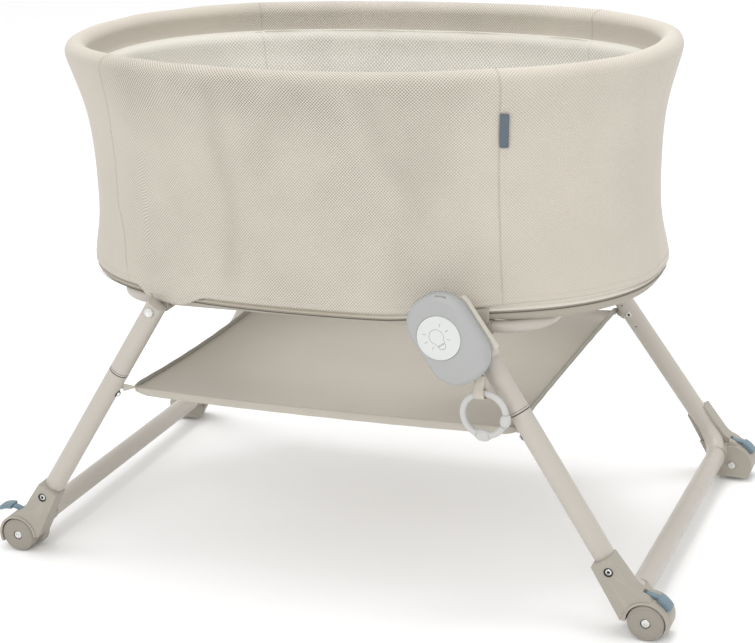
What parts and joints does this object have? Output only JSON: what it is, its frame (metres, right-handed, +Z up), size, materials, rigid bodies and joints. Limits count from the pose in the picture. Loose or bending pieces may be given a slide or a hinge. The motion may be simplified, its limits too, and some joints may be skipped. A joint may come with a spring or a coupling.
{
  "type": "bassinet on stand",
  "caption": "Oval mesh-sided bassinet on splayed tube legs with braked rollers, a fabric storage shelf, and a clip-on night light with a hanging teether ring.",
  "frame": {"origin": "on the floor below the middle of the basket", "axes": "+X along the basket's length towards the leg with the night light, -Y towards the side with the night light, +Z up"},
  "size_m": [1.0066, 0.5828, 0.7222],
  "materials": {
    "cover_fabric": "beige 3-D spacer mesh with small staggered holes",
    "liner_mesh": "pale open mesh",
    "mattress_cloth": "off-white knitted sheet",
    "shelf_fabric": "plain tan polyester with bound edges",
    "tray_plastic": "fine moulded grain",
    "light_tube": "beige powder coat",
    "frame_tube": "beige satin powder coat",
    "housing_plastic": "fine moulded grain",
    "wheel_plastic": "satin moulded, with fine turned grooves",
    "bright_steel": "zinc-plated",
    "brake_blue": "blue-grey moulded",
    "pod_grey": "soft-touch light grey",
    "pod_white": "satin white, raised bulb mark",
    "strap_webbing": "woven tape",
    "teether_silicone": "soft pale grey silicone"
  },
  "bodies": {
    "basket": {"outer_cover": "cover_fabric", "inner_liner": "liner_mesh", "rim_hoop": "light_tube", "base_tray": "tray_plastic", "base_board": "tray_plastic", "ring_tube": "light_tube", "storage_shelf": "shelf_fabric", "left_front_upright": "light_tube", "left_front_pivot_bracket": "housing_plastic", "left_front_pivot_bolt": "bright_steel", "right_front_upright": "light_tube", "right_front_pivot_bracket": "housing_plastic", "right_front_pivot_bolt": "bright_steel", "left_rear_upright": "light_tube", "left_rear_pivot_bracket": "housing_plastic", "left_rear_pivot_bolt": "bright_steel", "right_rear_upright": "light_tube", "right_rear_pivot_bracket": "housing_plastic", "right_rear_pivot_bolt": "bright_steel"},
    "mattress": {"mattress_pad": "mattress_cloth"},
    "left_frame": {"left_lower_frame": "frame_tube", "left_front_upper_leg": "frame_tube", "left_front_foot": "housing_plastic", "left_front_foot_screw": "bright_steel", "left_front_axle_bolt": "bright_steel", "left_rear_upper_leg": "frame_tube", "left_rear_foot": "housing_plastic", "left_rear_foot_screw": "bright_steel", "left_rear_axle_bolt": "bright_steel"},
    "right_frame": {"right_lower_frame": "frame_tube", "right_front_upper_leg": "frame_tube", "right_front_foot": "housing_plastic", "right_front_foot_screw": "bright_steel", "right_front_axle_bolt": "bright_steel", "right_rear_upper_leg": "frame_tube", "right_rear_foot": "housing_plastic", "right_rear_foot_screw": "bright_steel", "right_rear_axle_bolt": "bright_steel", "pod_body": "pod_grey", "pod_clip": "housing_plastic", "pod_strap": "strap_webbing"},
    "left_front_roller": {"left_front_wheel": "wheel_plastic"},
    "left_front_brake": {"left_front_brake_lever": "brake_blue"},
    "left_front_snap": {"left_front_spring_button": "bright_steel"},
    "right_front_roller": {"right_front_wheel": "wheel_plastic"},
    "right_front_brake": {"right_front_brake_lever": "brake_blue"},
    "right_front_snap": {"right_front_spring_button": "bright_steel"},
    "left_rear_roller": {"left_rear_wheel": "wheel_plastic"},
    "left_rear_brake": {"left_rear_brake_lever": "brake_blue"},
    "left_rear_snap": {"left_rear_spring_button": "bright_steel"},
    "right_rear_roller": {"right_rear_wheel": "wheel_plastic"},
    "right_rear_brake": {"right_rear_brake_lever": "brake_blue"},
    "right_rear_snap": {"right_rear_spring_button": "bright_steel"},
    "light_button": {"pod_button": "pod_white"},
    "teether": {"teether_ring": "teether_silicone"}
  },
  "joints": [
    {"name": "left_fold", "type": "hinge", "parent": "basket", "child": "left_frame", "pos_m": [-0.234, 0, 0.3765], "axis": [0, -1, 0], "range_deg": [0, 58], "deforming": ["storage_shelf"]},
    {"name": "right_fold", "type": "hinge", "parent": "basket", "child": "right_frame", "pos_m": [0.234, 0, 0.3765], "axis": [0, 1, 0], "range_deg": [0, 58]},
    {"name": "mattress_lift", "type": "slide", "parent": "basket", "child": "mattress", "axis": [0, 0, 1], "range_m": [0, 0.33]},
    {"name": "left_front_roll", "type": "hinge", "parent": "left_frame", "child": "left_front_roller", "pos_m": [-0.468, -0.2745, 0.02469], "axis": [0, 1, 0], "continuous": true},
    {"name": "right_front_roll", "type": "hinge", "parent": "right_frame", "child": "right_front_roller", "pos_m": [0.468, -0.2745, 0.02469], "axis": [0, 1, 0], "continuous": true},
    {"name": "left_rear_roll", "type": "hinge", "parent": "left_frame", "child": "left_rear_roller", "pos_m": [-0.468, 0.2745, 0.02469], "axis": [0, 1, 0], "continuous": true},
    {"name": "right_rear_roll", "type": "hinge", "parent": "right_frame", "child": "right_rear_roller", "pos_m": [0.468, 0.2745, 0.02469], "axis": [0, 1, 0], "continuous": true},
    {"name": "left_front_brake_press", "type": "hinge", "parent": "left_frame", "child": "left_front_brake", "pos_m": [-0.46683, -0.267, 0.05817], "axis": [0, -1, 0], "range_deg": [0, 30]},
    {"name": "right_front_brake_lift", "type": "hinge", "parent": "right_frame", "child": "right_front_brake", "pos_m": [0.46683, -0.267, 0.05817], "axis": [0, -1, 0], "range_deg": [0, 30]},
    {"name": "left_rear_brake_lift", "type": "hinge", "parent": "left_frame", "child": "left_rear_brake", "pos_m": [-0.46683, 0.267, 0.05817], "axis": [0, 1, 0], "range_deg": [0, 30]},
    {"name": "right_rear_brake_lift", "type": "hinge", "parent": "right_frame", "child": "right_rear_brake", "pos_m": [0.46683, 0.267, 0.05817], "axis": [0, -1, 0], "range_deg": [0, 30]},
    {"name": "left_front_snap_press", "type": "slide", "parent": "left_frame", "child": "left_front_snap", "axis": [-0.842, 0, 0.5394], "range_m": [0, 0.004], "stiffness_N_per_m": 400},
    {"name": "right_front_snap_press", "type": "slide", "parent": "right_frame", "child": "right_front_snap", "axis": [0.842, 0, 0.5394], "range_m": [0, 0.004], "stiffness_N_per_m": 400},
    {"name": "left_rear_snap_press", "type": "slide", "parent": "left_frame", "child": "left_rear_snap", "axis": [-0.842, 0, 0.5394], "range_m": [0, 0.004], "stiffness_N_per_m": 400},
    {"name": "right_rear_snap_press", "type": "slide", "parent": "right_frame", "child": "right_rear_snap", "axis": [0.842, 0, 0.5394], "range_m": [0, 0.004], "stiffness_N_per_m": 400},
    {"name": "light_press", "type": "slide", "parent": "right_frame", "child": "light_button", "axis": [0, 1, 0], "range_m": [0, 0.0015], "stiffness_N_per_m": 600},
    {"name": "teether_swing", "type": "hinge", "parent": "right_frame", "child": "teether", "pos_m": [0.254, -0.272, 0.314], "axis": [-1, 0, 0], "range_deg": [-5, 70]}
  ],
  "couplings": [
    {"joint": "right_fold", "follows": "left_fold", "ratio": 1}
  ]
}
